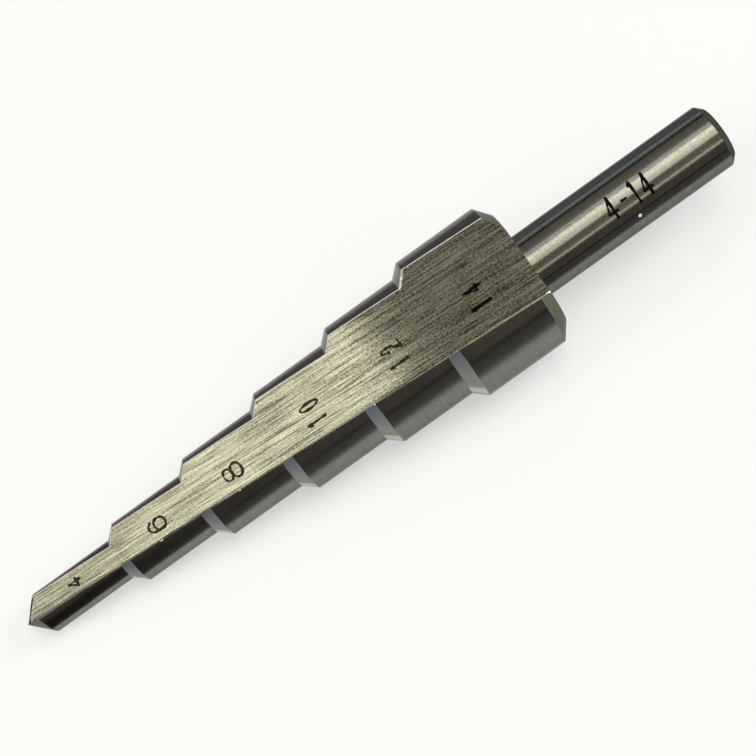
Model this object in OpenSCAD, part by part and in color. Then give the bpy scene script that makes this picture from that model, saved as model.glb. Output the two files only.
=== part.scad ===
// Step drill: one bar of hardened steel, turned to a stepped cone with a plain round
// shank, then ground with two straight flutes. It lies as it comes to rest on a bench:
// one flute down, on three corners, with the shank clear of the surface.
//
// The drill is worked out in its own upright frame first: the point at the origin, the
// axis along +Z, the first flute on the +X side. lay_down() then turns that frame so
// that the axis runs along +X and the bench is z = 0.

/* [Steps] */
// Diameter of the first step, next to the point
first_dia = 4; // [4:0.5:6]
// Growth in diameter from one step to the next
dia_rise = 2; // [1.5:0.25:2.5]
// Number of steps
step_count = 6; // [4:1:7]
// Length from the point to the end of the first step
first_len = 9.9; // [9:0.05:12]
// Length from one step to the next, its bevel included
step_pitch = 8.2; // [7:0.1:10]
// Length along the axis of the bevel that leads into a step
bevel_len = 1.1; // [0.6:0.1:2]
// Length of the last step at its full diameter
last_len = 7.9; // [6:0.1:12]
// Included angle between the two lips of the point, in degrees
point_angle = 108; // [96:1:124]
// Lean of each flank of the point away from its own lip, in degrees
point_relief = 9; // [4:0.5:12]

/* [Shoulder] */
// Length along the axis of the bevel behind the last step
back_bevel_len = 1.1; // [0.5:0.1:2]
// Width across the radius of the bevel behind the last step
back_bevel_drop = 1.4; // [0.5:0.1:1.8]

/* [Shank] */
// Diameter of the shank, a common size for hand drill chucks
shank_dia = 6; // [5:0.5:6.5]
// Length of the shank behind the shoulder
shank_len = 19.8; // [15:0.1:40]
// Bevel round the end of the shank
shank_bevel = 0.6; // [0.2:0.1:1.2]

/* [Flutes] */
// Distance of the flute floor from the axis at the point
floor_at_point = 0.68; // [0.5:0.02:0.9]
// Rise of the flute floor along the drill, in degrees
floor_rise = 4; // [3:0.1:4.5]
// Distance of the flute wall past the axis at the point
wall_at_point = 0.04; // [0:0.02:0.2]
// Lean of the flute wall along the drill, in degrees
wall_lean = 3.35; // [2:0.05:4]
// Radius of the corner between the floor and the wall
corner_r = 0.3; // [0.1:0.05:0.6]

/* [Relief] */
// Shift of each land toward its cutting edge, which lets the heel run free
land_shift = 0.05; // [0.01:0.01:0.15]
// Direction of that shift from the middle of the land's own flute, in degrees
land_shift_dir = -10; // [-20:1:-5]

/* [Hidden] */
// Facets of a full circle in the preview
round_fn = 96;
// How far a cutter reaches past the steel that it takes away
cut_over = 4;
// How far the lands reach below the tip before the point is ground
below_tip = 1;

// Radius of a step, and the height at which it ends
function step_r(i) = (first_dia + i * dia_rise) / 2;
function step_end(i) = first_len + i * step_pitch;
last_step = step_count - 1;
last_start = step_end(last_step - 1) + bevel_len;
shoulder_end = last_start + last_len;
back_face = shoulder_end + back_bevel_len;
total_len = back_face + shank_len;
shank_r = shank_dia / 2;
end_face_r = shank_r - shank_bevel;

// A land turns about a line beside the axis, so its own radius is smaller by the shift
function land_r(i) = step_r(i) - land_shift;
land_center = land_shift * [cos(land_shift_dir), sin(land_shift_dir)];

// Floor and wall of the first flute at a height along the axis
function floor_x(z) = floor_at_point + z * tan(floor_rise);
function wall_y(z) = wall_at_point + z * tan(wall_lean);

// Cutting edge: where the wall meets the first land, of radius r, at height z
function cutting_corner(r, z) =
    let (y = wall_y(z), dy = y - land_center.y)
    [land_center.x + sqrt(r * r - dy * dy), y, z];

// Flank of the point behind the first lip: part of a cone whose line leans away from it.
// Height of that cone over a place beside the axis, from the angle between the two.
flank_cos = cos(point_angle / 2) * cos(point_relief);
function flank_z(x, y) =
    let (s = sin(point_relief), c = cos(point_relief),
         a = c * c - flank_cos * flank_cos,
         b = y * s * c,
         d = y * y * s * s - flank_cos * flank_cos * (x * x + y * y))
    (b + sqrt(b * b - a * d)) / a;

// Height at which a lip reaches the full radius. The wall leans, so the place is looked
// up again at the height that the look-up before it gives.
function lip_end(z) = let (c = cutting_corner(land_r(0), z)) flank_z(c.x, c.y);
point_len = lip_end(lip_end(lip_end(0)));

// Heel: where the floor meets the second land, whose centre lies opposite
function heel_corner(r, z) =
    let (x = floor_x(z), dx = x + land_center.x)
    [x, -land_center.y - sqrt(r * r - dx * dx), z];

// The three corners that it rests on, all beside the first flute
rest_cut = cutting_corner(land_r(last_step), last_start);
rest_heel = heel_corner(land_r(last_step), last_start);
rest_point = cutting_corner(land_r(0), point_len);

// Directions of the bench seen from the upright frame
function unit(v) = v / norm(v);
bench_up = unit(cross(rest_point - rest_cut, rest_heel - rest_cut));
bench_along = unit([0, 0, 1] - bench_up.z * bench_up);
bench_across = cross(bench_up, bench_along);

// The point and the upper rim of the shank's end are furthest apart along the bench
reach = total_len * bench_along.z + end_face_r * norm([bench_along.x, bench_along.y]);

// Outline of one land from below the point to the back face, radius across, height up
module land_outline() {
    polygon(concat(
        [[0, -below_tip], [land_r(0), -below_tip]],
        [for (i = [0 : last_step - 1], k = [0, 1])
            [land_r(i + k), step_end(i) + k * bevel_len]],
        [[land_r(last_step), shoulder_end],
         [land_r(last_step) - back_bevel_drop, back_face],
         [0, back_face]]));
}

// What the wheel takes off one half of the point: all round a cone whose tip is the tip
// of the drill. Its line leans away from the half, so the flank falls back behind the lip.
module flank_cut() {
    wide = 2 * step_r(0);
    rotate([point_relief, 0, 0])
        rotate_extrude($fn = round_fn)
            polygon([[0, -cut_over], [wide, -cut_over],
                     [wide, wide / tan(acos(flank_cos))], [0, 0]]);
}

// Half of the stepped head, with its own centre line shifted toward its cutting edge.
// The halves meet on the plane y = 0, which both flutes open up and where both flanks
// have the same height.
module land_half() {
    wide = step_r(last_step) + cut_over;
    difference() {
        intersection() {
            translate([land_center.x, land_center.y, 0])
                rotate_extrude($fn = round_fn)
                    land_outline();
            translate([-wide, 0, -cut_over])
                cube([2 * wide, wide, back_face + 2 * cut_over]);
        }
        flank_cut();
    }
}

// Section of the grinding wheel's path: all that lies beyond the floor and the wall,
// with the corner between them rounded
module flute_section() {
    wide = 2 * step_r(last_step) + cut_over;
    translate([corner_r, -wide])
        square([wide, wide]);
    translate([0, -wide])
        square([wide, wide - corner_r]);
    translate([corner_r, -corner_r])
        circle(r = corner_r, $fn = round_fn);
}

// The space of the first flute, leaning along its floor and its wall
module flute() {
    sweep = back_face + 4 * cut_over;
    translate([floor_at_point, wall_at_point, 0])
        rotate([-wall_lean, floor_rise, 0])
            translate([0, 0, -2 * cut_over])
                linear_extrude(sweep)
                    flute_section();
}

// Stepped cutting head: two relieved lands, with a straight flute ahead of each
module cutting_head() {
    difference() {
        union() {
            land_half();
            rotate([0, 0, 180])
                land_half();
        }
        flute();
        rotate([0, 0, 180])
            flute();
    }
}

// Round shank with a bevelled end, sunk into the head so that both are one piece
module shank() {
    sunk = last_len / 2;
    bevel_start = total_len - shank_bevel;
    translate([0, 0, back_face - sunk])
        cylinder(r = shank_r, h = bevel_start - back_face + sunk, $fn = round_fn);
    translate([0, 0, bevel_start])
        cylinder(r1 = shank_r, r2 = end_face_r, h = shank_bevel, $fn = round_fn);
}

// Turns the upright frame onto the bench, centred over the origin
module lay_down() {
    multmatrix([
        [bench_along.x, bench_along.y, bench_along.z, -reach / 2],
        [bench_across.x, bench_across.y, bench_across.z, 0],
        [bench_up.x, bench_up.y, bench_up.z, -bench_up * rest_cut],
        [0, 0, 0, 1]])
        children();
}

module step_drill() {
    color([0.60, 0.59, 0.50])
        lay_down() {
            cutting_head();
            shank();
        }
}

step_drill();
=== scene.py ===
"""Step drill, dressed for its picture: ground flutes, turned lands, stamped numbers.

The drill's own frame has the point at the origin and the axis along +Z, in millimetres.
The first flute there is the one that faces up on the bench. to_bench() turns that frame
onto the bench, in metres.
"""

import bmesh
import bpy
import numpy as np
from mathutils import Matrix, Vector


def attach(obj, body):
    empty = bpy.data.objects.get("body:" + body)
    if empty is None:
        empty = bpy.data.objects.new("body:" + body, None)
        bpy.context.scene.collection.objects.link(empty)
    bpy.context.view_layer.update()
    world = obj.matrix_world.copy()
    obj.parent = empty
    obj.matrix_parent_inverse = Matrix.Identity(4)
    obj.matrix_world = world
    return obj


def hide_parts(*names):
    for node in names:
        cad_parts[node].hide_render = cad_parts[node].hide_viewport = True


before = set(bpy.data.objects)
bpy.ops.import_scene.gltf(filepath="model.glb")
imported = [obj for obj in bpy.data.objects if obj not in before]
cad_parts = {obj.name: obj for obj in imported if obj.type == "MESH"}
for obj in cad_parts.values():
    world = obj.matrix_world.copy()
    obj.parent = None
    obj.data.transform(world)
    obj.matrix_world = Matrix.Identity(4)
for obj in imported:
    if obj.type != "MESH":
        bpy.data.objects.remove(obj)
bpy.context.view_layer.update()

# Driving sizes of the drill, in millimetres and degrees
STEP_RADII = [2.0, 3.0, 4.0, 5.0, 6.0, 7.0]
FIRST_LEN = 9.9
STEP_PITCH = 8.2
BEVEL_LEN = 1.1
LAST_LEN = 7.9
BACK_BEVEL_LEN = 1.1
BACK_BEVEL_DROP = 1.4
SHANK_R = 3.0
SHANK_LEN = 19.8
SHANK_BEVEL = 0.6
FLOOR_AT_POINT = 0.68
FLOOR_SLOPE = np.tan(np.radians(4.0))
WALL_AT_POINT = 0.04
WALL_SLOPE = np.tan(np.radians(3.35))
CORNER_R = 0.3
LAND_SHIFT = 0.05
LAND_SHIFT_DIR = np.radians(-10.0)
POINT_ANGLE = np.radians(108.0)
POINT_RELIEF = np.radians(9.0)
MM = 0.001
# How often a height on a leaning surface is looked up again until it holds
LIP_LOOK_UPS = 3
SECTION_LOOK_UPS = 4

land_radii = [r - LAND_SHIFT for r in STEP_RADII]
land_center = LAND_SHIFT * np.array([np.cos(LAND_SHIFT_DIR), np.sin(LAND_SHIFT_DIR)])
step_ends = [FIRST_LEN + i * STEP_PITCH for i in range(len(STEP_RADII) - 1)]
last_start = step_ends[-1] + BEVEL_LEN
shoulder_end = last_start + LAST_LEN
back_face = shoulder_end + BACK_BEVEL_LEN
total_len = back_face + SHANK_LEN


def floor_x(z):
    """Height of the flute floor over the axis, a straight line along the drill."""
    return FLOOR_AT_POINT + FLOOR_SLOPE * z


def wall_y(z):
    """Place of the flute wall past the axis, a straight line along the drill."""
    return WALL_AT_POINT + WALL_SLOPE * z


def unit(v):
    """The same direction with a length of one."""
    return v / np.linalg.norm(v)


def cutting_corner(r, z):
    """Where the wall meets a land of radius r that turns about its shifted centre."""
    x = land_center[0] + np.sqrt(r * r - (wall_y(z) - land_center[1]) ** 2)
    return np.array([x, wall_y(z), z])


def flank_z(x, y):
    """Height of the flank behind a lip, over a place beside the axis. The flank is part of
    a cone round a line that leans POINT_RELIEF away from it, and the cone's half angle is
    such that the two lips include POINT_ANGLE. Squaring the angle's cosine gives a
    quadratic equation for the height."""
    lean_s, lean_c = np.sin(POINT_RELIEF), np.cos(POINT_RELIEF)
    half_c = np.cos(POINT_ANGLE / 2) * lean_c
    a = lean_c ** 2 - half_c ** 2
    b = y * lean_s * lean_c
    d = (y * lean_s) ** 2 - half_c ** 2 * (x * x + y * y)
    return (b + np.sqrt(b * b - a * d)) / a


def lip_end():
    """Height at which a lip reaches the first step's radius, looked up again because the
    wall leans."""
    z = 0.0
    for _ in range(LIP_LOOK_UPS):
        x, y, _ = cutting_corner(land_radii[0], z)
        z = flank_z(x, y)
    return z


def heel_corner(r, z):
    """Where the floor meets the other land, whose centre lies opposite."""
    y = -land_center[1] - np.sqrt(r * r - (floor_x(z) + land_center[0]) ** 2)
    return np.array([floor_x(z), y, z])


def bench_frame():
    """The drill rests on three corners of its lower flute: both corners of the last step's
    front ring and the cutting corner of the first step. Their plane is the bench, and the
    axis lies along X over it. Returns the turn and the shift from drill to bench."""
    half_turn = np.diag([-1.0, -1.0, 1.0])
    cut = half_turn @ cutting_corner(land_radii[-1], last_start)
    heel = half_turn @ heel_corner(land_radii[-1], last_start)
    tip = half_turn @ cutting_corner(land_radii[0], lip_end())
    up = unit(np.cross(tip - cut, heel - cut))
    along = unit(np.array([0, 0, 1]) - up[2] * up)
    turn = np.array([along, np.cross(up, along), up])
    end_reach = (SHANK_R - SHANK_BEVEL) * np.hypot(along[0], along[1])
    shift = np.array([-(total_len * along[2] + end_reach) / 2, 0, -up @ cut])
    return turn, shift


bench_turn, bench_shift = bench_frame()


def to_bench(points):
    """Points of the drill's frame in millimetres, set on the bench in metres."""
    return (points @ bench_turn.T + bench_shift) * MM


# The drill's surfaces

# How far from a corner its softened edge begins, in millimetres
EDGE_SOFT = 0.04
HEEL_SOFT = 0.06
POINT_HEEL_SOFT = 0.2
ROOT_SOFT = 0.15
# The most that it may take of the side beside it, as a share
CUT_SHARE = 0.25
HEEL_SHARE = 0.15
CORNER_SHARE = 0.45
# What is left of that on the back bevel, which was ground last and is crisper
BACK_CRISP = 0.12
# Longest gap between two rows
POINT_ROW = 0.09
LAND_ROW = 1.0
BEVEL_ROW = 0.25
SHANK_ROW = 0.8
# Places of the rows on a softened corner, from where it leaves one side to the next
CURVE_PLACES = (0.25, 0.5, 0.75, 1.0)
# Smallest radii that are divided by
LEAST_R = 0.1
TINY_R = 1e-9


def blend(start, end, t):
    """Straight line from start to end."""
    return start * (1 - t) + end * t


def quadratic(start, control, end, t):
    """Curve from start to end that leaves and arrives toward the control point."""
    return (1 - t) ** 2 * start + 2 * t * (1 - t) * control + t * t * end


def outline_rows(corners, gaps, softness):
    """Rows along a turned outline of (height, radius) corners. A side is cut into equal
    parts no longer than its gap, and a corner is a quadratic curve that leaves one side
    and meets the next at the corner's softness. Returns the rows and each row's side."""
    rows, sides = [corners[0]], []
    for i in range(len(corners) - 1):
        a, b = np.array(corners[i]), np.array(corners[i + 1])
        run = b - a
        length = np.linalg.norm(run)
        start = softness[i] / length
        end = 1 - softness[i + 1] / length
        count = max(1, int(np.ceil((end - start) * length / gaps[i])))
        for t in np.linspace(start, end, count + 1)[1:]:
            rows.append(tuple(a + t * run))
            sides.append(i)
        if softness[i + 1] > 0:
            after = np.array(corners[i + 2]) - b
            meet = b + softness[i + 1] * after / np.linalg.norm(after)
            leave = np.array(rows[-1])
            for t in CURVE_PLACES:
                rows.append(tuple(quadratic(leave, b, meet, t)))
                sides.append(i if t <= 0.5 else i + 1)
    return np.array(rows), np.array(sides)


# Width of the ring of the back face that belongs to the head's grid
BACK_RIM = 3 * EDGE_SOFT
# Columns of half a section, and the part that each belongs to
FLOOR_COLS = 24
CORNER_COLS = 6
WALL_COLS = 6
SOFT_COLS = 4
ARC_COLS = 72
COLUMN_ZONES = (["flute"] * (FLOOR_COLS + CORNER_COLS + WALL_COLS) + ["edge"] * SOFT_COLS
                + ["land"] * ARC_COLS + ["heel"] * SOFT_COLS)


def ground_height(level, r, x, y):
    """Height of a place on a row of the first step or the point. Rows are counted by a
    level that equals their radius up to the first step's. There the point's own height
    holds. Past it, the height runs evenly from the point's rim to the end of the step."""
    first = land_radii[0]
    grow = np.maximum(r, TINY_R)
    rim = flank_z(x, y) / grow * first
    on_point = rim * level / first
    on_step = rim + (level - first) * (FIRST_LEN - rim) / (FIRST_LEN - first)
    return np.where(level < first, on_point, np.where(level < FIRST_LEN, on_step, level))


def half_chord(r, offset):
    """Half the chord of a circle of radius r at an offset from its centre, or zero outside."""
    return np.sqrt(np.maximum(r * r - offset ** 2, 0))


def even_parts(count):
    """Places from 0 up to, but not with, 1 in equal parts, as a row."""
    return np.arange(count)[None] / count


def half_section(level, r):
    """Half of the drill's section on each row, where the lands have radius r. It runs from
    a land's heel along the flute floor, round the corner, up the wall to the cutting edge,
    and round the next land to its heel. Near the point, where r is less than the floor's
    height, floor and wall shrink to nothing and only the land's arc is left. A row stays
    level from the end of the first step on, and before it follows the ground point, so
    its heel and its cutting edge have heights of their own, found by looking them up
    again from the section that the last look-up gives."""
    level, r = level[:, None], r[:, None]
    shift = np.minimum(1, r / land_radii[0])
    cx, cy = land_center[0] * shift, land_center[1] * shift
    z_heel, z_cut = level, level
    for _ in range(SECTION_LOOK_UPS):
        x_floor = np.minimum(floor_x(z_cut), r + cx)
        x_heel = np.minimum(floor_x(z_heel), r + cx)
        y_heel = -cy - half_chord(r, x_heel + cx)
        y_wall = np.minimum(wall_y(z_cut), cy + half_chord(r, x_floor - cx))
        x_edge = np.maximum(x_floor, cx + half_chord(r, y_wall - cy))
        z_heel = ground_height(level, r, -x_heel, -y_heel)
        z_cut = ground_height(level, r, x_edge, y_wall)
    corner = np.minimum(CORNER_R, CORNER_SHARE * np.minimum(x_edge - x_floor, y_wall - y_heel))
    corner = np.maximum(corner, 0)
    on_point, behind = level < land_radii[0], level > shoulder_end + EDGE_SOFT
    crisp = np.where(behind, BACK_CRISP, 1.0)
    soft_cut = np.minimum(EDGE_SOFT * crisp, CUT_SHARE * (x_edge - x_floor))
    blunt = np.where(on_point, POINT_HEEL_SOFT, HEEL_SOFT * crisp)
    soft_heel = np.minimum(blunt, HEEL_SHARE * (y_wall - y_heel))
    from_angle = np.arctan2(y_wall - cy, x_edge - cx) + soft_cut / np.maximum(r, LEAST_R)
    heel_angle = np.arctan2(-y_heel - cy, -x_heel - cx)
    to_angle = heel_angle - soft_heel / np.maximum(r, LEAST_R)

    def on_land(angle):
        return cx + r * np.cos(angle), cy + r * np.sin(angle)

    t = even_parts(FLOOR_COLS)
    floor = [blend(x_heel, x_floor, t), blend(y_heel + soft_heel, y_wall - corner, t),
             blend(z_heel, z_cut, t)]
    turn = even_parts(CORNER_COLS) * np.pi / 2
    inner = [x_floor + corner * (1 - np.cos(turn)), y_wall - corner * (1 - np.sin(turn)),
             z_cut + 0 * turn]
    t = even_parts(WALL_COLS)
    wall = [blend(x_floor + corner, x_edge - soft_cut, t), y_wall + 0 * t, z_cut + 0 * t]
    t = even_parts(SOFT_COLS)
    x, y = on_land(from_angle)
    cut = [quadratic(x_edge - soft_cut, x_edge, x, t), quadratic(y_wall, y_wall, y, t),
           z_cut + 0 * t]
    x, y = on_land(from_angle + (to_angle - from_angle) * np.arange(ARC_COLS)[None] / ARC_COLS)
    land = [x, y, ground_height(level, r, x, y)]
    x, y = on_land(to_angle)
    heel = [quadratic(x, -x_heel, -x_heel, t), quadratic(y, -y_heel, -y_heel - soft_heel, t),
            z_heel + 0 * t]
    parts = [floor, inner, wall, cut, land, heel]
    return np.stack([np.concatenate([p[k] for p in parts], 1) for k in (0, 1, 2)], 2)


def ring_faces(rows, cols, first=0):
    """Quads of a grid whose columns close into rings, wound to face outward."""
    r, c = np.meshgrid(np.arange(rows - 1), np.arange(cols), indexing="ij")
    nxt = (c + 1) % cols
    quads = np.stack([r * cols + c, r * cols + nxt, (r + 1) * cols + nxt, (r + 1) * cols + c], 2)
    return quads.reshape(-1, 4) + first


def head_surface():
    """The stepped head: the turned outline carried round each section of the drill, from
    the point to a little inside the rim of the back face. Returns the grid of points and
    the finish of each."""
    corners = [(0.0, 0.0), (land_radii[0], land_radii[0])]
    gaps, softness = [POINT_ROW], [0.0, EDGE_SOFT]
    zones = ["point"]
    for i, end in enumerate(step_ends):
        corners += [(end, land_radii[i]), (end + BEVEL_LEN, land_radii[i + 1])]
        gaps += [LAND_ROW, BEVEL_ROW]
        softness += [2 * EDGE_SOFT, EDGE_SOFT]
        zones += ["land", "bevel"]
    rim = land_radii[-1] - BACK_BEVEL_DROP
    corners += [(shoulder_end, land_radii[-1]), (back_face, rim), (back_face, rim - BACK_RIM)]
    gaps += [LAND_ROW, BEVEL_ROW, BEVEL_ROW]
    softness += [EDGE_SOFT, EDGE_SOFT, 0.0]
    zones += ["land", "back", "back"]
    rows, sides = outline_rows(corners, gaps, softness)
    half = half_section(rows[:, 0], rows[:, 1])
    grid = np.concatenate([half, half * [-1, -1, 1]], 1)
    column_zones = np.array(COLUMN_ZONES * 2)
    row_zones = np.array([zones[s] for s in sides])
    turned = column_zones == "land"
    softened = (column_zones == "edge") | (column_zones == "heel")
    plain_rows = (row_zones == "point") | (row_zones == "back")
    by_row = turned[None] | (softened[None] & plain_rows[:, None])
    zone = np.where(by_row, row_zones[:, None], column_zones[None])
    return grid, zone


SHANK_COLS = 160
# Radius of the lid in the middle of the end face
LID_R = 0.05


def shank_surface():
    """The round shank: its outline, from a small fillet at the shoulder to the middle of
    the end face, turned about the axis. Returns the grid and the finish of each point."""
    bevel_start = total_len - SHANK_BEVEL
    end_r = SHANK_R - SHANK_BEVEL
    corners = [(back_face, SHANK_R + 2 * ROOT_SOFT), (back_face, SHANK_R),
               (bevel_start, SHANK_R), (total_len, end_r), (total_len, LID_R)]
    gaps = [BEVEL_ROW, SHANK_ROW, BEVEL_ROW, SHANK_ROW]
    rows, sides = outline_rows(corners, gaps, [0.0, ROOT_SOFT, EDGE_SOFT, EDGE_SOFT, 0.0])
    angle = np.arange(SHANK_COLS) / SHANK_COLS * 2 * np.pi
    z, r = rows[:, :1], rows[:, 1:]
    grid = np.stack([r * np.cos(angle), r * np.sin(angle), z + 0 * angle], 2)
    zone = np.array(["back", "shank", "end", "end"])[sides]
    zone = np.repeat(zone[:, None], SHANK_COLS, 1)
    return grid, zone


# Stamped numbers

# A stroke at its full depth: its width at the surface, its depth, how far its cutter stands
# out of the steel, and the gap between two rows of the cutter, in millimetres
STROKE_W = 0.26
STROKE_DEPTH = 0.08
STROKE_LIFT = 0.12
STROKE_STEP = 0.05
# Width of a shallow and of a deep stroke, as shares of STROKE_W
LEAST_WIDTH = 0.45
MOST_WIDTH = 1.15
# Section of the cutter, from side to side, as shares of half its width
CUTTER_SIDES = (1.25, 1.0, 0.45, -0.45, -1.0, -1.25)
# Rows of the round end of an open stroke, as shares of half its width
END_PLACES = (0.98, 0.8, 0.5, 0.2)
# Points of a stroke for each wave of its depth, and the fewest waves
WAVE_POINTS = 4
LEAST_WAVES = 3
# Fewest parts of a stroke, and the points of an arc and of an oval
LEAST_PARTS = 4
ARC_POINTS = 33
OVAL_POINTS = 49
OVAL_POWER = 0.88


def arc(center, size, start, end):
    """Part of an ellipse between two angles in degrees, in a cell one wide and one high."""
    a = np.radians(np.linspace(start, end, ARC_POINTS))
    return np.stack([center[0] + size[0] * np.cos(a), center[1] + size[1] * np.sin(a)], 1)


def oval(center, size):
    """A closed oval, slightly squarer than an ellipse: its cosine and sine are raised to a
    power a little under one."""
    a = np.radians(np.linspace(0, 360, OVAL_POINTS))
    x, y = np.cos(a), np.sin(a)
    return np.stack([center[0] + size[0] * np.sign(x) * np.abs(x) ** OVAL_POWER,
                     center[1] + size[1] * np.sign(y) * np.abs(y) ** OVAL_POWER], 1)


def line(*points):
    """Straight lines from point to point."""
    return np.array(points, float)


# Each digit's strokes, from its left (0) to its right (1) and from its foot (0) to its top (1)
DIGITS = {
    "0": [oval((0.5, 0.5), (0.5, 0.5))],
    "1": [line((0.8, 1.0), (0.8, 0.0)), line((0.0, 0.84), (0.7, 0.985))],
    "2": [line((0.16, 0.66), (0.2, 0.88), (0.36, 0.98), (0.6, 0.98), (0.78, 0.88), (0.8, 0.7),
               (0.7, 0.42), (0.28, 0.28), (0.12, 0.04)),
          line((0.0, 0.0), (1.0, 0.0))],
    "4": [line((0.66, 0.0), (0.66, 1.0)), line((0.6, 0.95), (0.0, 0.3)),
          line((0.0, 0.29), (1.0, 0.29))],
    "6": [oval((0.5, 0.33), (0.5, 0.33)),
          np.concatenate([arc((0.5, 0.62), (0.5, 0.38), 28, 180), line((0.0, 0.36))])],
    "8": [oval((0.5, 0.27), (0.5, 0.27)), oval((0.5, 0.77), (0.42, 0.23))],
    "-": [line((0.1, 0.5), (0.9, 0.5))],
}
MOST_STROKES = 3
# How hard the strokes of a digit are struck, where they differ
STRIKE = {"4": (1.05, 0.62, 1.0)}
EVEN_STRIKE = (1.0,) * MOST_STROKES


def even_path(points, step):
    """The same path with points at even steps along it."""
    along = np.concatenate([[0], np.cumsum(np.linalg.norm(np.diff(points, axis=0), axis=1))])
    count = max(LEAST_PARTS, int(along[-1] / step))
    at = np.linspace(0, along[-1], count + 1)
    return np.stack([np.interp(at, along, points[:, k]) for k in range(points.shape[1])], 1)


def stroke_solid(path, normal, deep):
    """A closed groove cutter along a path. Its section is a V with a flat bottom, as wide
    as the stroke at the surface, and narrower where it is shallow. An open stroke starts
    and ends in half a circle, where the width shrinks as the root of one minus the square
    of the way to the end. Returns the rows of the sweep, and whether it closes into a ring."""
    half = STROKE_W / 2
    closed = np.allclose(path[0], path[-1])
    width = np.clip(deep / STROKE_DEPTH, LEAST_WIDTH, MOST_WIDTH)
    if closed:
        path, normal, deep, width = path[:-1], normal[:-1], deep[:-1], width[:-1]
        heading = np.roll(path, -1, 0) - np.roll(path, 1, 0)
    else:
        ends = np.array(END_PLACES)
        more = len(ends)
        lead, tail = unit(path[0] - path[1]), unit(path[-1] - path[-2])
        path = np.concatenate([path[0] + np.outer(ends * half, lead), path,
                               path[-1] + np.outer(ends[::-1] * half, tail)])
        normal = np.pad(normal, ((more, more), (0, 0)), "edge")
        deep = np.pad(deep, more, "edge")
        cap = np.sqrt(1 - ends ** 2)
        width = np.concatenate([cap * width[0], width, cap[::-1] * width[-1]])
        heading = np.gradient(path, axis=0)
    across = np.cross(normal, heading)
    across /= np.linalg.norm(across, axis=1, keepdims=True)
    side = np.array(CUTTER_SIDES) * half
    above = np.full(len(path), STROKE_LIFT)
    lift = np.stack([above, 0 * deep, -deep, -deep, 0 * deep, above], 1)
    grid = (path[:, None] + across[:, None] * (side[None] * width[:, None])[..., None]
            + normal[:, None] * lift[..., None])
    return grid, closed


def stroke_depth(count, deep, uneven, dice):
    """Depth along a stroke. An uneven one waves in and out, so that the imprint breaks up."""
    waves = dice.normal(size=max(LEAST_WAVES, count // WAVE_POINTS))
    wave = np.interp(np.linspace(0, len(waves) - 1, count), np.arange(len(waves)), waves)
    return deep * (1 + uneven * wave)


def floor_stroke(stroke, cell, blow, dice):
    """A stroke on the flute floor. The digit's top is toward the point, and its cell is
    given by its middle across and along the flute, its width and height, depth and wave."""
    y_mid, z_mid, wide, high, deep, uneven = cell
    y = y_mid - (stroke[:, 0] - 0.5) * (wide - STROKE_W)
    z = z_mid - (stroke[:, 1] - 0.5) * (high - STROKE_W)
    path = even_path(np.stack([floor_x(z), y, z], 1), STROKE_STEP)
    rise = np.repeat([unit(np.array([1.0, 0.0, -FLOOR_SLOPE]))], len(path), 0)
    return stroke_solid(path, rise, stroke_depth(len(path), deep * blow, uneven, dice))


def shank_stroke(stroke, cell, blow, dice):
    """A stroke on the shank, bent round it and read toward its end. The cell is given by
    its middle along the shank and round it in degrees, its width, height, depth and wave."""
    z_mid, angle_mid, wide, high, deep, uneven = cell
    z = z_mid + (stroke[:, 0] - 0.5) * (wide - STROKE_W)
    rise = -(stroke[:, 1] - 0.5) * (high - STROKE_W)
    flat = even_path(np.stack([rise, z], 1), STROKE_STEP)
    angle = np.radians(angle_mid) + flat[:, 0] / SHANK_R
    outward = np.stack([np.cos(angle), np.sin(angle), 0 * angle], 1)
    path = np.concatenate([SHANK_R * outward[:, :2], flat[:, 1:]], 1)
    return stroke_solid(path, outward, stroke_depth(len(path), deep * blow, uneven, dice))


# Digits of the diameters: place across and along the flute, width, height, depth and wave
FLOOR_DIGITS = [
    ("4", (-0.57, 5.61, 0.94, 1.32, 0.075, 0.3)),
    ("6", (-0.47, 14.36, 1.27, 1.88, 0.065, 0.3)),
    ("8", (-0.34, 22.28, 1.50, 2.00, 0.067, 0.3)),
    ("1", (0.38, 30.69, 0.46, 1.94, 0.072, 0.3)),
    ("0", (-1.11, 30.81, 0.75, 2.00, 0.072, 0.25)),
    ("1", (0.51, 39.17, 0.44, 1.95, 0.055, 0.6)),
    ("2", (-1.02, 39.22, 0.90, 2.06, 0.062, 0.6)),
    ("1", (0.55, 47.56, 0.36, 2.12, 0.09, 0.15)),
    ("4", (-0.97, 47.65, 0.80, 2.05, 0.075, 0.45)),
]
# Digits of the range: place along the shank, angle round it, width, height, depth and wave
SHANK_DIGITS = [
    ("4", (61.05, 3.4, 1.05, 2.3, 0.08, 0.2)),
    ("-", (62.35, 3.4, 0.80, 2.3, 0.08, 0.2)),
    ("1", (63.40, 3.4, 0.50, 2.3, 0.08, 0.2)),
    ("4", (64.60, 3.4, 1.05, 2.3, 0.08, 0.2)),
]
STAMP_SEED = 14


# Building the meshes

# Points closer than this are one, in metres: in the grids and in the stamped mesh
GRID_SEAM = 2e-7
SEAM = 5e-7
# Faces with more corners than this are cut into triangles
MOST_CORNERS = 4
# How much the larger faces count where the normals are evened
NORMAL_WEIGHT = 80
MATERIAL_SLOTS = ["flute", "land", "bevel", "point", "back", "edge", "heel", "shank", "end",
                  "stamp"]


def mesh_from_arrays(name, points, faces, zones=None):
    """A mesh object from points on the drill, with a material slot for each zone."""
    mesh = bpy.data.meshes.new(name)
    mesh.from_pydata(to_bench(points).tolist(), [], faces)
    if zones is not None:
        index = np.array([MATERIAL_SLOTS.index(zone) for zone in zones], np.int32)
        mesh.polygons.foreach_set("material_index", index)
    mesh.update()
    thing = bpy.data.objects.new(name, mesh)
    bpy.context.scene.collection.objects.link(thing)
    return thing


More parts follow.
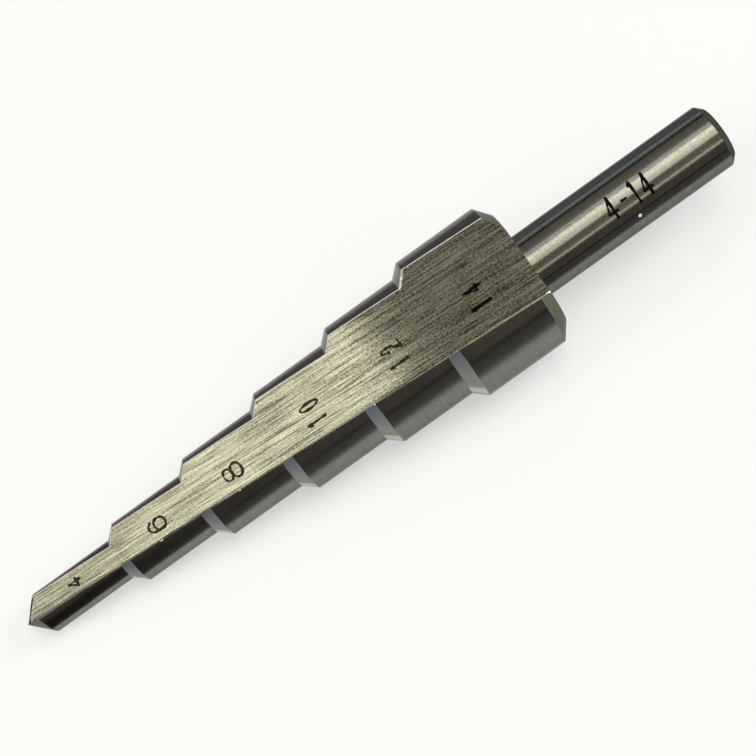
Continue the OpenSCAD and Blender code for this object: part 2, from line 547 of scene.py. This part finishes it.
def drill_body():
    """Head and shank grids, joined by the flat back of the shoulder and closed at the
    point and at the shank's end."""
    head, head_zone = head_surface()
    shank, shank_zone = shank_surface()
    first = head.shape[0] * head.shape[1]
    points = np.concatenate([head.reshape(-1, 3), shank.reshape(-1, 3)])
    faces = np.concatenate([ring_faces(head.shape[0], head.shape[1]),
                            ring_faces(shank.shape[0], shank.shape[1], first)])
    zones = list(head_zone.reshape(-1)) + list(shank_zone.reshape(-1))
    rim = set(range(first - head.shape[1], first))
    root = set(range(first, first + SHANK_COLS))
    cap = set(range(len(points) - SHANK_COLS, len(points)))
    body = mesh_from_arrays("step_drill_steel", points, faces.tolist(), zones)
    work = bmesh.new()
    work.from_mesh(body.data)
    work.verts.ensure_lookup_table()
    gap = [edge for edge in work.edges if edge.is_boundary
           and any(all(v.index in ring for v in edge.verts) for ring in (rim, root))]
    filled = bmesh.ops.triangle_fill(work, edges=gap, use_beauty=True)
    for face in [g for g in filled["geom"] if isinstance(g, bmesh.types.BMFace)]:
        face.material_index = MATERIAL_SLOTS.index("back")
    lid = work.faces.new([v for v in work.verts if v.index in cap])
    lid.material_index = MATERIAL_SLOTS.index("end")
    bmesh.ops.remove_doubles(work, verts=work.verts, dist=GRID_SEAM)
    bmesh.ops.recalc_face_normals(work, faces=work.faces)
    work.to_mesh(body.data)
    work.free()
    return body


def stamp_cutters():
    """The strokes of all numbers as closed solids, in a few meshes. A digit's strokes go to
    different meshes, so that no solid crosses another of its own mesh."""
    dice = np.random.default_rng(STAMP_SEED)
    layers = [[] for _ in range(MOST_STROKES)]
    for maker, digits in ((floor_stroke, FLOOR_DIGITS), (shank_stroke, SHANK_DIGITS)):
        for digit, cell in digits:
            blows = STRIKE.get(digit, EVEN_STRIKE)
            for layer, stroke, blow in zip(layers, DIGITS[digit], blows):
                layer.append(maker(stroke, cell, blow, dice))
    return [cutter_mesh(layer) for layer in layers]


def cutter_mesh(solids):
    """One mesh from swept solids: open ones get end faces, rings close on themselves."""
    points, faces = [], []
    for grid, closed in solids:
        rows, cols = grid.shape[:2]
        first = len(points)
        points += grid.reshape(-1, 3).tolist()
        if closed:
            quads = ring_faces(rows + 1, cols)
            faces += (quads % (rows * cols) + first).tolist()
        else:
            faces += ring_faces(rows, cols, first).tolist()
            faces += [[first + c for c in range(cols)],
                      [first + (rows - 1) * cols + c for c in reversed(range(cols))]]
    cutters = mesh_from_arrays("stamp_strokes", np.array(points), faces)
    work = bmesh.new()
    work.from_mesh(cutters.data)
    bmesh.ops.recalc_face_normals(work, faces=work.faces)
    work.to_mesh(cutters.data)
    work.free()
    return cutters


def crisp_rims(body):
    """Marks the rims of the stamped strokes sharp, so that the steel round them stays even,
    and the rim between a flute and the back bevel, which was ground last."""
    stamp, flute, back = [MATERIAL_SLOTS.index(name) for name in ("stamp", "flute", "back")]
    work = bmesh.new()
    work.from_mesh(body.data)
    for edge in work.edges:
        sides = {face.material_index for face in edge.link_faces}
        edge.smooth = len(sides) == 1 or (stamp not in sides and sides != {flute, back})
    work.to_mesh(body.data)
    work.free()


def mend_mesh(body):
    """Joins points that the stamping left closer than SEAM, and cuts the many-sided faces
    round the strokes into triangles, so that the mesh has no sliver without an area."""
    work = bmesh.new()
    work.from_mesh(body.data)
    bmesh.ops.remove_doubles(work, verts=work.verts, dist=SEAM)
    bmesh.ops.dissolve_degenerate(work, dist=SEAM, edges=work.edges)
    wide = [face for face in work.faces if len(face.verts) > MOST_CORNERS]
    bmesh.ops.triangulate(work, faces=wide, ngon_method="BEAUTY")
    bmesh.ops.dissolve_degenerate(work, dist=SEAM, edges=work.edges)
    work.to_mesh(body.data)
    work.free()


def apply_modifiers(thing):
    """Keeps the evaluated mesh as the object's own."""
    graph = bpy.context.evaluated_depsgraph_get()
    done = bpy.data.meshes.new_from_object(thing.evaluated_get(graph))
    thing.modifiers.clear()
    thing.data = done


# Shader expressions

class Value:
    """A number on a node's socket. Arithmetic on it adds Math nodes to its tree."""

    def __init__(self, tree, socket):
        self.tree = tree
        self.socket = socket

    def math(self, operation, *terms):
        """A Math node on Values or plain numbers."""
        sockets = dict(enumerate(terms))
        return self.tree.get("ShaderNodeMath", {"operation": operation}, sockets)

    def __add__(self, other):
        return self.math("ADD", self, other)

    def __sub__(self, other):
        return self.math("SUBTRACT", self, other)

    def __rsub__(self, other):
        return self.math("SUBTRACT", other, self)

    def __mul__(self, other):
        return self.math("MULTIPLY", self, other)

    def __truediv__(self, other):
        return self.math("DIVIDE", self, other)

    __radd__ = __add__
    __rmul__ = __mul__


class Tree:
    """The nodes of a material or world, built from plain values and Value links."""

    def __init__(self, owner):
        owner.use_nodes = True
        self.nodes = owner.node_tree.nodes
        self.links = owner.node_tree.links
        self.nodes.clear()

    def node(self, kind, settings=None, sockets=None):
        """Adds a node. Settings come first, with a ramp's stops as (place, colour) pairs."""
        node = self.nodes.new(kind)
        for name, setting in (settings or {}).items():
            if name == "stops":
                self.fill_ramp(node.color_ramp, setting)
            else:
                setattr(node, name, setting)
        for name, value in (sockets or {}).items():
            if isinstance(value, Value):
                self.links.new(value.socket, node.inputs[name])
            else:
                node.inputs[name].default_value = value
        return node

    def fill_ramp(self, ramp, stops):
        """Gives a ramp its stops, and new elements where it has too few."""
        while len(ramp.elements) < len(stops):
            ramp.elements.new(1.0)
        for element, (place, colour) in zip(ramp.elements, stops):
            element.position = place
            element.color = (*colour, 1.0)

    def get(self, kind, settings=None, sockets=None, output=0):
        """Adds a node and returns the Value of one of its outputs."""
        return Value(self, self.node(kind, settings, sockets).outputs[output])

    def mix(self, factor, first, second, blend="MIX"):
        """Colour mix of two colours by a factor."""
        settings = {"data_type": "RGBA", "blend_type": blend}
        return self.get("ShaderNodeMix", settings, {0: factor, 6: first, 7: second}, 2)

    def fade(self, value, low, high):
        """Smooth step of a value from 0 at low to 1 at high."""
        settings = {"interpolation_type": "SMOOTHSTEP"}
        sockets = {0: value, 1: low, 2: high, 3: 0.0, 4: 1.0}
        return self.get("ShaderNodeMapRange", settings, sockets)

    def noise(self, vector, scale, detail, roughness=0.5):
        """Soft noise in space, mostly between 0.3 and 0.7."""
        sockets = {"Vector": vector, "Scale": scale, "Detail": detail, "Roughness": roughness}
        return self.get("ShaderNodeTexNoise", {"noise_dimensions": "3D"}, sockets)

    def split(self, vector):
        """The three parts of a vector."""
        parts = self.node("ShaderNodeSeparateXYZ", None, {0: vector})
        return [Value(self, parts.outputs[k]) for k in range(3)]

    def join(self, x, y, z):
        """A vector of three parts."""
        return self.get("ShaderNodeCombineXYZ", None, {0: x, 1: y, 2: z})


def colour(red, green, blue):
    """A colour as a socket takes it."""
    return (red, green, blue, 1.0)


def edge_spot(z):
    """A place on the first cutting edge, at a height along the drill."""
    outline = [(0, 0), (POINT_RIM, land_radii[0])]
    for i, end in enumerate(step_ends):
        outline += [(end, land_radii[i]), (end + BEVEL_LEN, land_radii[i + 1])]
    heights, radii = np.array(outline + [(shoulder_end, land_radii[-1])]).T
    return tuple(cutting_corner(np.interp(z, heights, radii), z))


POINT_RIM = lip_end()
NICK_GLINT_ANGLE = np.radians(42.4)
# Painted glints, pale spots where a small nick catches the light: the place and the size of
# each, in millimetres
NICK_GLINTS = [
    (edge_spot(14.15), 0.17),
    (edge_spot(35.5), 0.16),
    (edge_spot(22.1), 0.12),
    ((SHANK_R * np.cos(NICK_GLINT_ANGLE), SHANK_R * np.sin(NICK_GLINT_ANGLE), 62.8), 0.2),
]
# Part of a painted glint's size that is fully pale, and how much rougher it is
GLINT_CORE = 0.6
GLINT_ROUGH = 0.3


def drill_place(tree):
    """Object coordinates turned back into the drill's frame, in millimetres."""
    place = tree.get("ShaderNodeTexCoord", output=3)
    return tree.get("ShaderNodeMapping", {"vector_type": "TEXTURE"}, {
        "Vector": place, "Location": Vector(bench_shift * MM),
        "Rotation": Matrix(bench_turn.tolist()).to_euler(), "Scale": (MM, MM, MM)})


def nick_glint_mask(tree):
    """One on the few painted glints, pale spots where a small nick on the cutting edge or the
    shank catches the light, zero elsewhere.
    """
    place = drill_place(tree)
    mask = 0.0
    for spot, size in NICK_GLINTS:
        ends = {0: place, 1: spot}
        away = tree.get("ShaderNodeVectorMath", {"operation": "DISTANCE"}, ends, 1)
        mask = tree.fade(away, size, GLINT_CORE * size) + mask
    return mask


def finish_steel(tree, tone, rough, height, dark, light, bump_mm, rim=1.0, tint=None):
    """Bare steel: tone runs the colour from dark to light, height lifts the surface, rim
    is how bright it gets at a glancing angle, and a tint multiplies the colour. Painted
    glints are pale, rough spots where a small nick catches the light."""
    bump = tree.get("ShaderNodeBump", None, {
        "Strength": 1.0, "Distance": bump_mm * MM, "Height": height})
    steel = tree.mix(tone, dark, light)
    if tint:
        steel = tree.mix(1.0, steel, tint, "MULTIPLY")
    glints = nick_glint_mask(tree)
    # painted glints: pale spots where a small nick catches the light
    steel = tree.mix(glints, steel, colour(1.0, 1.0, 1.0))
    rough = rough + GLINT_ROUGH * glints
    shader = tree.node("ShaderNodeBsdfPrincipled", None, {
        "Base Color": steel, "Metallic": 1.0,
        "Specular Tint": colour(rim, rim, rim),
        "Roughness": rough, "Normal": bump})
    tree.node("ShaderNodeOutputMaterial", None, {0: Value(tree, shader.outputs[0])})


# Grain of the ground flutes: how often each kind repeats per millimetre across the lines
# and along them, its detail and its roughness
FLUTE_GRAIN = {
    "streaks": (2.5, 0.12, 1.0, 0.5),
    "hairs": (8.0, 0.16, 1.0, 0.5),
    "threads": (13.0, 0.45, 1.0, 0.5),
    "specks": (7.0, 4.0, 3.0, 0.8),
    "scores": (6.0, 0.09, 0.0, 0.5),
    "patches": (0.5, 0.35, 3.0, 0.55),
}
# How strongly each kind of line shows
LINE_WEIGHTS = {"streaks": 0.36, "hairs": 1.0, "threads": 1.22}
# Where the scores' noise starts and ends to show, and how much: dark ones and pale ones
DARK_SCORES = (0.62, 0.69, 0.22)
PALE_SCORES = (0.38, 0.31, 0.18)
# Flecks: how often they repeat per millimetre, and where their noise starts and ends to show
FLECK_SCALE = (2.5, 2.5, 2.0)
FLECK_LIMITS = (0.75, 0.78)
# Tone of the plain flute, and how strongly the rest shows in it
FLUTE_TONE = 0.466
SPECK_WEIGHT = 1.5
PATCH_WEIGHT = 0.29
FLECK_WEIGHT = 0.15
FLUTE_ROUGH = 0.06
PATCH_ROUGH = 0.03
FLUTE_BUMP_MM = 0.002
FLUTE_DARK = colour(0.12, 0.115, 0.088)
FLUTE_LIGHT = colour(0.86, 0.836, 0.677)
# Heights between which the flute's grain turns from fresh to worn, and what that adds
WORN = (32.0, 40.0)
WORN_LINES = 0.5
WORN_SPECKS = 2.2
WORN_FLECKS = 0.5
WORN_TONE = 0.1


def flute_steel(tree):
    """Ground lengthwise: hairlines run along the cutting edge, each a few millimetres long,
    with fine specks, deeper scores and slow patches of tone. Toward the shank the grain
    stands out more, with a pale fleck here and there. The upper flute is on the side where
    x is above zero, and each side has its own grain."""
    x, y, z = tree.split(drill_place(tree))
    side = x.math("SIGN", x)
    across = side * y - z * WALL_SLOPE
    grain = {}
    for layer, (name, (fine, long, detail, rough)) in enumerate(FLUTE_GRAIN.items(), 1):
        place = tree.join(across * fine, z * long, side * float(layer))
        grain[name] = tree.noise(place, 1.0, detail, rough)
    fleck_place = [part * scale for part, scale in zip((x, y, z), FLECK_SCALE)]
    flecks = tree.fade(tree.noise(tree.join(*fleck_place), 1.0, 1.0), *FLECK_LIMITS)
    worn = tree.fade(z, *WORN)
    lines = sum((grain[name] - 0.5) * weight for name, weight in LINE_WEIGHTS.items())
    for sign, (start, end, weight) in ((-1, DARK_SCORES), (1, PALE_SCORES)):
        lines = lines + tree.fade(grain["scores"], start, end) * (sign * weight)
    patches = grain["patches"]
    tone = lines * (1 + WORN_LINES * worn)
    tone = tone + (grain["specks"] - 0.5) * (SPECK_WEIGHT + WORN_SPECKS * worn)
    tone = tone + (patches - 0.5) * PATCH_WEIGHT + FLUTE_TONE
    tone = tone + flecks * (FLECK_WEIGHT + WORN_FLECKS * worn) + WORN_TONE * worn
    rough = FLUTE_ROUGH + PATCH_ROUGH * patches
    finish_steel(tree, tone, rough, lines, FLUTE_DARK, FLUTE_LIGHT, FLUTE_BUMP_MM)


# Turned steel: how often rings repeat round the axis, and stains and specks in space, per
# millimetre, and how strongly rings and stains show
RING_STRETCH = 0.12
STAIN_SCALE = 0.5
TURNED_SPECK_SCALE = 6.0
RING_WEIGHT = 0.9
STAIN_WEIGHT = 0.6
STAIN_ROUGH = 0.1
# Painted dark reflection, a darker band behind the cutting edge: the angles where it starts
# and ends, as a tint's, and how far it reaches from the point
DARK_REFLECTION_START = (0.10, 0.15)
DARK_REFLECTION_END = (0.27, 0.31)
DARK_REFLECTION_REACH = 32.0


def turned_steel(tree, dark, light, rough, rings_per_mm, bump_mm, rim=1.0, stops=None,
                 dark_reflection=0.0, speckle=1.2):
    """Turned round the axis: rings whose tone changes slowly along them. Stops paint
    reflections into the steel's colour by the angle round the axis: 0 at a flute's
    middle, 1 opposite, the same for both halves of the drill. A painted dark reflection
    darkens the band behind the cutting edge, most toward the point."""
    x, y, z = tree.split(drill_place(tree))
    ring_place = tree.join(x * RING_STRETCH, y * RING_STRETCH, z * rings_per_mm)
    rings = tree.noise(ring_place, 1.0, 3.0, 0.6)
    stains = tree.noise(tree.join(*(part * STAIN_SCALE for part in (x, y, z))), 1.0, 4.0, 0.6)
    speck_place = tree.join(*(part * TURNED_SPECK_SCALE for part in (x, y, z)))
    specks = tree.noise(speck_place, 1.0, 2.0, 0.6)
    tone = (rings - 0.5) * RING_WEIGHT + (stains - 0.5) * STAIN_WEIGHT
    tone = tone + (specks - 0.5) * speckle + 0.5
    tint = None
    if stops:
        half = y.math("SIGN", y)
        turn = y.math("ARCTAN2", half * y, half * x) / np.pi
        # painted reflections: the colour ramp follows the angle round the axis
        tint = tree.get("ShaderNodeValToRGB", {"stops": stops}, {0: turn})
        if dark_reflection:
            # painted dark reflection: the band behind the cutting edge darkens toward the point
            band = tree.fade(turn, *DARK_REFLECTION_START) * (1 - tree.fade(turn, *DARK_REFLECTION_END))
            near_point = 1 - tree.fade(z, 0.0, DARK_REFLECTION_REACH)
            tint = tree.mix(band * near_point * dark_reflection, tint, colour(0, 0, 0))
    rough = rough + STAIN_ROUGH * stains
    finish_steel(tree, tone, rough, rings, dark, light, bump_mm, rim, tint)


# Stamped strokes: grains per millimetre, how rough they are and how much their grain adds,
# the heights between which they turn darker, their bump and how bright they get at a
# glancing angle
STAMP_GRAIN = 9.0
STAMP_ROUGH = 0.5
GRAIN_ROUGH = 0.2
STAMP_DARKENING = (42.0, 45.0)
STAMP_BUMP_MM = 0.01
STAMP_RIM = 0.3


def stamped_steel(tree):
    """Floor of the stamped strokes: dark, rough and uneven, and darker still from the last step
    on.
    """
    place = drill_place(tree)
    z = tree.split(place)[2]
    grain = tree.noise(place, STAMP_GRAIN, 3.0, 0.6)
    darkening = tree.fade(z, *STAMP_DARKENING)
    dark = tree.mix(darkening, colour(0.018, 0.016, 0.011), colour(0.002, 0.002, 0.002))
    light = tree.mix(darkening, colour(0.075, 0.066, 0.048), colour(0.014, 0.013, 0.012))
    rough = STAMP_ROUGH + GRAIN_ROUGH * grain
    finish_steel(tree, grain, rough, grain, dark, light, STAMP_BUMP_MM, STAMP_RIM)


def shade(*stops):
    """Ramp stops from (place, grey) or (place, red, green, blue)."""
    return [(place, tuple(tint) if len(tint) == 3 else (tint[0],) * 3)
            for place, *tint in stops]


# Painted reflections: tints round a piece by the angle from the middle of its flute, from 0
# to 1 opposite. A land is painted dark behind its cutting edge, lighter further round, and
# bluish dark at the heel. The bevels are painted blue at the cutting edge and pale where they
# catch the bench. The point and the shank get painted light and dark bands the same way.
LAND_REFLECTION_TINT = shade(
    (0.00, 0.50), (0.10, 0.50), (0.14, 0.62), (0.178, 0.60), (0.200, 0.18), (0.212, 0.12),
    (0.24, 0.125), (0.262, 0.17), (0.276, 0.30), (0.30, 0.62), (0.33, 0.70), (0.40, 0.80),
    (0.53, 0.86), (0.56, 0.95, 0.94, 0.90), (0.605, 0.93, 0.92, 0.88),
    (0.63, 0.45, 0.44, 0.45), (0.65, 0.20, 0.19, 0.23), (1.00, 0.13, 0.125, 0.16))
BEVEL_REFLECTION_TINT = shade(
    (0.00, 0.185, 0.20, 0.24), (0.13, 0.185, 0.20, 0.24), (0.20, 0.27, 0.285, 0.305),
    (0.28, 0.37, 0.38, 0.355), (0.352, 0.37, 0.37, 0.33), (0.368, 0.80, 0.79, 0.63),
    (0.40, 1.00, 1.00, 0.82), (0.43, 1.00, 1.00, 0.82), (0.46, 0.34, 0.33, 0.30),
    (0.53, 0.06, 0.059, 0.055), (0.56, 0.09, 0.088, 0.081), (0.60, 0.175, 0.17, 0.157),
    (0.66, 0.25, 0.242, 0.222), (1.00, 0.25, 0.242, 0.222))
POINT_REFLECTION_TINT = shade(
    (0.00, 0.70, 0.74, 0.74), (0.25, 0.70, 0.74, 0.74), (0.40, 0.52, 0.54, 0.50),
    (0.52, 0.50), (0.54, 0.24, 0.22, 0.25), (1.00, 0.20, 0.18, 0.22))
SHANK_REFLECTION_TINT = shade(
    (0.00, 0.55), (0.05, 0.52), (0.095, 0.76), (0.115, 0.56), (0.14, 0.66), (0.182, 0.68),
    (0.205, 0.19), (0.25, 0.135), (0.277, 0.22), (0.305, 0.78), (0.56, 0.92), (0.60, 0.46),
    (0.655, 0.25, 0.26, 0.27), (0.70, 0.38, 0.40, 0.42), (0.755, 0.82), (0.775, 0.95),
    (0.80, 0.44), (0.86, 0.62), (0.905, 0.92), (0.96, 0.86), (1.00, 0.55))


# Each turned surface: its dark and light colour, roughness, rings per millimetre and bump.
# Then, where it isn't plain, how bright it gets at a glancing angle, its painted
# reflections round the axis, how dark its painted reflection behind the cutting edge is,
# and how much its specks show.
TURNED = {
    "land": {"dark": colour(0.22, 0.217, 0.20), "light": colour(0.35, 0.347, 0.322),
             "rough": 0.13, "rings_per_mm": 7.0, "bump_mm": 0.003, "rim": 0.5,
             "stops": LAND_REFLECTION_TINT, "dark_reflection": 0.75},
    "bevel": {"dark": colour(0.485, 0.485, 0.485), "light": colour(0.64, 0.64, 0.64),
              "rough": 0.15, "rings_per_mm": 6.0, "bump_mm": 0.004, "rim": 0.8,
              "stops": BEVEL_REFLECTION_TINT},
    "point": {"dark": colour(0.205, 0.205, 0.205), "light": colour(0.295, 0.295, 0.295),
              "rough": 0.16, "rings_per_mm": 6.0, "bump_mm": 0.004, "rim": 0.5,
              "stops": POINT_REFLECTION_TINT},
    "back": {"dark": colour(0.135, 0.135, 0.100), "light": colour(0.195, 0.195, 0.145),
             "rough": 0.24, "rings_per_mm": 5.0, "bump_mm": 0.005, "rim": 0.5},
    "end": {"dark": colour(0.070, 0.070, 0.055), "light": colour(0.115, 0.116, 0.090),
            "rough": 0.24, "rings_per_mm": 5.0, "bump_mm": 0.005, "rim": 0.4},
    "edge": {"dark": colour(0.12, 0.115, 0.10), "light": colour(0.36, 0.35, 0.31),
             "rough": 0.2, "rings_per_mm": 7.0, "bump_mm": 0.002},
    # the heel's near-white colour paints a highlight along the softened heel edge
    "heel": {"dark": colour(0.55, 0.53, 0.44), "light": colour(0.95, 0.93, 0.82),
             "rough": 0.3, "rings_per_mm": 4.0, "bump_mm": 0.002},
    "shank": {"dark": colour(0.16, 0.158, 0.147), "light": colour(0.25, 0.248, 0.231),
              "rough": 0.11, "rings_per_mm": 9.0, "bump_mm": 0.004, "rim": 0.5,
              "stops": SHANK_REFLECTION_TINT, "speckle": 2.4},
}


def steel_materials():
    """One material for each finish, in the order of the mesh's slots."""
    materials = []
    for name in MATERIAL_SLOTS:
        material = bpy.data.materials.new(name + "_steel")
        tree = Tree(material)
        if name == "flute":
            flute_steel(tree)
        elif name == "stamp":
            stamped_steel(tree)
        else:
            turned_steel(tree, **TURNED[name])
        materials.append(material)
    return materials


def build_drill():
    """The dressed drill, in place of the plain solid."""
    body = drill_body()
    for material in steel_materials():
        body.data.materials.append(material)
    stamped = body.data.materials[MATERIAL_SLOTS.index("stamp")]
    for cutters in stamp_cutters():
        cutters.data.materials.append(stamped)
        cut = body.modifiers.new("stamp", "BOOLEAN")
        cut.object = cutters
        cut.operation = "DIFFERENCE"
        cut.solver = "MANIFOLD"
        apply_modifiers(body)
        bpy.data.objects.remove(cutters)
    mend_mesh(body)
    body.data.polygons.foreach_set("use_smooth", np.ones(len(body.data.polygons), bool))
    crisp_rims(body)
    keep_flat = body.modifiers.new("even_normals", "WEIGHTED_NORMAL")
    keep_flat.weight = NORMAL_WEIGHT
    keep_flat.keep_sharp = True
    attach(body, "root")
    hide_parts("step_drill")
    return body


# Bench, light and camera

BENCH_SIZE = 3.0
PAPER_GRAIN = 900.0
PAPER_WHITENESS = 0.5
SEEN_RAYS = ("Is Camera Ray", "Is Glossy Ray", "Is Transmission Ray")


def build_bench():
    """A plain pale floor under the drill. Where it is seen, straight or in the steel, half
    of its brightness is its own, so that it stays white and its shadow stays light."""
    half = BENCH_SIZE / 2
    corners = [(-half, -half, 0), (half, -half, 0), (half, half, 0), (-half, half, 0)]
    mesh = bpy.data.meshes.new("bench")
    mesh.from_pydata(corners, [], [(0, 1, 2, 3)])
    bench = bpy.data.objects.new("bench", mesh)
    bpy.context.scene.collection.objects.link(bench)
    material = bpy.data.materials.new("pale_paper")
    tree = Tree(material)
    place = tree.get("ShaderNodeTexCoord", output=3)
    grain = tree.noise(place, PAPER_GRAIN, 3.0)
    paper = tree.mix(grain, colour(0.875, 0.88, 0.895), colour(0.915, 0.92, 0.935))
    shader = tree.get("ShaderNodeBsdfPrincipled", None, {
        "Base Color": paper, "Roughness": 0.9, "Specular IOR Level": 0.1})
    white = tree.get("ShaderNodeEmission", None, {0: colour(1.0, 1.0, 1.0), 1: 1.0})
    rays = tree.node("ShaderNodeLightPath")
    seen = sum(Value(tree, rays.outputs[name]) for name in SEEN_RAYS)
    shares = {0: seen * PAPER_WHITENESS, 1: shader, 2: white}
    both = tree.get("ShaderNodeMixShader", None, shares)
    tree.node("ShaderNodeOutputMaterial", None, {0: both})
    mesh.materials.append(material)


# Soft panels round the drill. Each has its angles in degrees, round the axis from the middle
# of the upper flute and along the axis from square to it toward the shank, then its colour
# and its strength.
PANELS = [
    ((-44, 38), (-50, -19), (1.0, 0.98, 0.86), 0.85),
    ((-44, 38), (-19, -8.9), (1.0, 0.98, 0.86), 1.15),
    ((-44, 38), (-8.9, 1.5), (1.0, 0.97, 0.84), 0.2),
    ((-27, 5), (1.5, 32), (1.0, 0.97, 0.80), 4.3),
    ((-42, -27), (1.5, 40), (0.97, 1.0, 0.97), 1.6),
    ((-74, -44), (-20, 40), (1.0, 0.95, 0.72), 0.6),
    ((-103, -86), (-20, 40), (0.75, 0.9, 1.0), 0.8),
    ((5, 30), (1.5, 32), (1.0, 0.95, 0.72), 0.7),
    ((30, 37), (1.5, 32), (1.0, 0.95, 0.75), 2.6),
    ((16, 72), (-60, 1.5), (1.0, 0.9, 0.75), 0.17),
    ((37, 72), (1.5, 40), (1.0, 0.9, 0.72), 0.26),
    ((-20, 12), (-85, -62), (0.8, 0.9, 1.0), 0.9),
]
# Half the width of a panel's soft rim, at its sides and at its ends, in degrees
PANEL_SOFT = 1.5
PANEL_END_SOFT = 0.4
ROOM_LIGHT = (0.14, 0.125, 0.11)
TO_DEGREES = 180 / np.pi


def build_room():
    """Dark room with soft panels, told apart by the direction seen from the drill."""
    world = bpy.data.worlds.new("studio")
    bpy.context.scene.world = world
    tree = Tree(world)
    direction = tree.get("ShaderNodeTexCoord", output=0)
    turned = tree.get("ShaderNodeMapping", {"vector_type": "TEXTURE"}, {
        "Vector": direction, "Rotation": Matrix(bench_turn.tolist()).to_euler()})
    x, y, z = tree.split(turned)
    round_angle = x.math("ARCTAN2", y, x) * TO_DEGREES
    along_angle = x.math("ARCSINE", z) * TO_DEGREES
    light = colour(*ROOM_LIGHT)
    for (low, high), (near, far), tint, strength in PANELS:
        mask = (tree.fade(round_angle, low - PANEL_SOFT, low + PANEL_SOFT)
                * (1 - tree.fade(round_angle, high - PANEL_SOFT, high + PANEL_SOFT))
                * tree.fade(along_angle, near - PANEL_END_SOFT, near + PANEL_END_SOFT)
                * (1 - tree.fade(along_angle, far - PANEL_END_SOFT, far + PANEL_END_SOFT)))
        glow = colour(*(strength * t for t in tint))
        light = tree.mix(mask, light, glow)
    back = tree.node("ShaderNodeBackground", None, {0: light, 1: 1.0})
    tree.node("ShaderNodeOutputWorld", None, {0: Value(tree, back.outputs[0])})


# Lamps that light the bench: angle round the axis and along it in degrees, size in metres
# and watts
LAMPS = [
    ("lamp_shank_side", -10, 58, 0.16, 0.5),
    ("lamp_point_side", -30, -62, 0.16, 0.5),
]
LAMP_DISTANCE = 0.4
LAMP_COLOUR = (0.84, 0.88, 1.0)


def from_drill(direction):
    """A direction of the drill's frame, seen from the bench."""
    return Vector(bench_turn @ np.array(direction))


def build_lamps(target):
    """Round soft lamps that face the middle of the drill."""
    for name, around, along, size, watts in LAMPS:
        a, b = np.radians(around), np.radians(along)
        toward = from_drill((np.cos(a) * np.cos(b), np.sin(a) * np.cos(b), np.sin(b)))
        data = bpy.data.lights.new(name, "AREA")
        data.shape = "DISK"
        data.size = size
        data.energy = watts
        data.color = LAMP_COLOUR
        lamp = bpy.data.objects.new(name, data)
        lamp.location = target + toward * LAMP_DISTANCE
        lamp.rotation_euler = toward.to_track_quat("Z", "Y").to_euler()
        bpy.context.scene.collection.objects.link(lamp)


# The camera that fits the photograph: how far it is from what it looks at, in metres, that
# place on the bench in millimetres, its turn, height and roll in degrees, and its lens and
# sensor in millimetres
CAMERA_DISTANCE = 0.160
CAMERA_TARGET_MM = (0.476, -0.17, 4.70)
CAMERA_TURN = 7.85
CAMERA_ELEVATION = 67.9
CAMERA_ROLL = 26.5
CAMERA_LENS = 89.0
CAMERA_SENSOR = 36.0
CAMERA_CLIP_START = 0.005


def build_camera():
    """Looks at the middle of the drill from the photograph's side, height and roll, and
    returns the place that it looks at."""
    target = Vector(CAMERA_TARGET_MM) * MM
    turn, rise, roll = np.radians([CAMERA_TURN, CAMERA_ELEVATION, CAMERA_ROLL])
    forward = Vector((np.sin(turn) * np.cos(rise), np.cos(turn) * np.cos(rise), -np.sin(rise)))
    level = forward.cross(Vector((0, 0, 1))).normalized()
    down = forward.cross(level)
    right = level * np.cos(roll) + down * np.sin(roll)
    up = -(down * np.cos(roll) - level * np.sin(roll))
    data = bpy.data.cameras.new("camera")
    data.lens = CAMERA_LENS
    data.sensor_width = CAMERA_SENSOR
    data.clip_start = CAMERA_CLIP_START
    camera = bpy.data.objects.new("camera", data)
    axes = Matrix((right, up, -forward)).transposed()
    camera.matrix_world = Matrix.LocRotScale(target - forward * CAMERA_DISTANCE,
                                             axes.to_quaternion(), None)
    bpy.context.scene.collection.objects.link(camera)
    bpy.context.scene.camera = camera
    return target


build_drill()
build_bench()
target = build_camera()
build_room()
build_lamps(target)
bpy.context.scene.view_settings.view_transform = "Standard"
